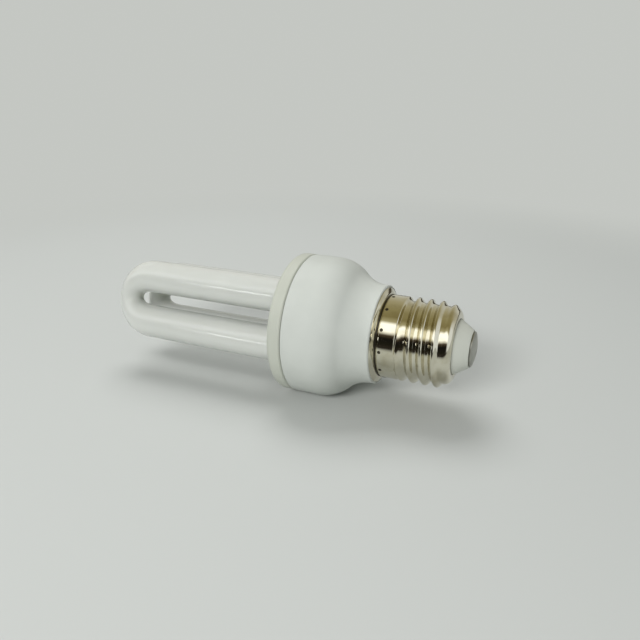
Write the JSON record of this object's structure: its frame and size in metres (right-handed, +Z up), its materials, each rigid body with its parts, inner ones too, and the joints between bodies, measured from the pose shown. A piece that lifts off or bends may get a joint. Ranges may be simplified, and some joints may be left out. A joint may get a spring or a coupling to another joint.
{
  "type": "u-shaped compact fluorescent bulb",
  "caption": "Compact fluorescent lamp with two parallel U bends of white glass, a bell-shaped white housing with its ballast inside, and a rolled nickel screw cap.",
  "frame": {"origin": "on the surface the lamp lies on, under the middle of its length", "axes": "+X along the lamp's axis from the glass to the cap, +Z up, the lamp lying on the side of its housing"},
  "size_m": [0.1226, 0.0444, 0.0444],
  "materials": {
    "phosphor_glass": "white phosphor coating behind clear gloss glass",
    "housing_white": "satin moulded white plastic",
    "holder_white": "satin moulded plastic, slightly creamier",
    "nickel": "bright nickel on rolled sheet",
    "insulator_white": "satin white insulator",
    "contact_metal": "dull solder grey",
    "silicone": "white cement",
    "board": "bare laminate",
    "ferrite": "dark fired ferrite",
    "copper": "enamelled copper wire",
    "bobbin_plastic": "black moulded plastic",
    "capacitor_sleeve": "dark sleeve",
    "film_epoxy": "dipped epoxy",
    "black_epoxy": "moulded epoxy",
    "resistor_body": "lacquered body",
    "tinned": "tinned wire"
  },
  "bodies": {
    "root": {"discharge_tube": "phosphor_glass", "tube_holder": "holder_white", "housing": "housing_white", "screw_shell": "nickel", "cap_insulator": "insulator_white", "centre_contact": "contact_metal", "tube_cement": "silicone", "circuit_board": "board", "choke_core_rear": "ferrite", "choke_core_front": "ferrite", "choke_bobbin": "bobbin_plastic", "choke_winding": "copper", "storage_capacitor": "capacitor_sleeve", "film_capacitors": "film_epoxy", "starting_capacitor": "film_epoxy", "switching_transistors": "black_epoxy", "rectifier_diodes": "black_epoxy", "resistors": "resistor_body", "drive_ring_core": "ferrite", "drive_ring_coils": "copper", "fuse_resistor": "resistor_body", "contact_lead": "tinned", "shell_lead": "tinned", "wire_wrap_pins": "tinned", "filament_leads": "tinned"}
  },
  "joints": []
}
